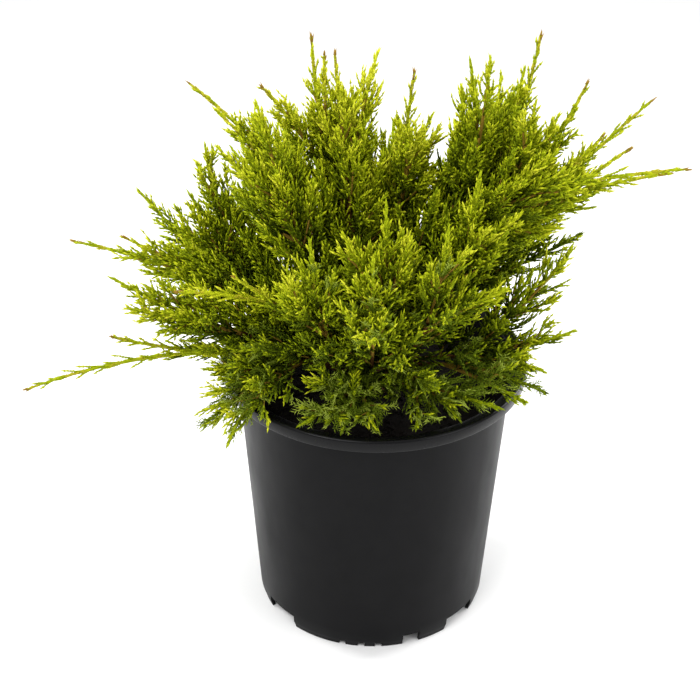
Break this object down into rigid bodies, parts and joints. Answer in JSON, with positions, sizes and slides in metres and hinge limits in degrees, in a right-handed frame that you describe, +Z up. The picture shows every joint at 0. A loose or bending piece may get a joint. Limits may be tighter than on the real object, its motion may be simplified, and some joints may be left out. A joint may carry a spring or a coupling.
{
  "type": "potted juniper",
  "caption": "Spreading juniper with feathery plumes of green scale foliage, rooted in a round tapered black plastic nursery pot with a rolled rim and drain notches.",
  "frame": {"origin": "on the ground, under the middle of the plant's bounding box; the pot stands a little to one side of it, because the crown leans out further on its left and at its back", "axes": "+Z up along the pot's axis; -Y the side the picture shows; +X to the right in it"},
  "size_m": [0.5152, 0.3786, 0.5102],
  "materials": {
    "black_plastic": "satin black polypropylene",
    "potting_mix": "dark moist bark-based potting mix",
    "bark": "thin reddish-brown bark in fine strips",
    "juniper": "scale foliage, yellow-green at the tips and deep green inside"
  },
  "bodies": {
    "root": {"bough_back_left": "bark", "bough_back_left_low": "bark", "bough_back_low": "bark", "bough_back_right": "bark", "bough_back_right_low": "bark", "bough_back_top": "bark", "bough_far_left": "bark", "bough_far_right": "bark", "bough_far_right_high": "bark", "bough_front_left": "bark", "bough_front_left_high": "bark", "bough_front_middle": "bark", "bough_front_peak": "bark", "bough_front_right": "bark", "bough_front_right_peak": "bark", "bough_left": "bark", "bough_left_front": "bark", "bough_peak_right": "bark", "bough_right": "bark", "bough_top_left": "bark", "bough_top_peak": "bark", "bough_top_peak_left": "bark", "bough_top_right": "bark", "bough_upper_left": "bark", "bough_upper_right": "bark", "foliage_back_left": "juniper", "foliage_back_left_low": "juniper", "foliage_back_low": "juniper", "foliage_back_right": "juniper", "foliage_back_right_low": "juniper", "foliage_back_top": "juniper", "foliage_far_left": "juniper", "foliage_far_right": "juniper", "foliage_far_right_high": "juniper", "foliage_front_left": "juniper", "foliage_front_left_high": "juniper", "foliage_front_low_left": "juniper", "foliage_front_low_right": "juniper", "foliage_front_middle": "juniper", "foliage_front_peak": "juniper", "foliage_front_right": "juniper", "foliage_front_right_peak": "juniper", "foliage_inner_right": "juniper", "foliage_left": "juniper", "foliage_left_front": "juniper", "foliage_left_low": "juniper", "foliage_left_shoulder": "juniper", "foliage_peak_right": "juniper", "foliage_right": "juniper", "foliage_right_front_low": "juniper", "foliage_right_rim": "juniper", "foliage_top_left": "juniper", "foliage_top_peak": "juniper", "foliage_top_peak_left": "juniper", "foliage_top_right": "juniper", "foliage_upper_left": "juniper", "foliage_upper_right": "juniper", "pot": "black_plastic", "soil": "potting_mix", "trunk": "bark"}
  },
  "joints": []
}
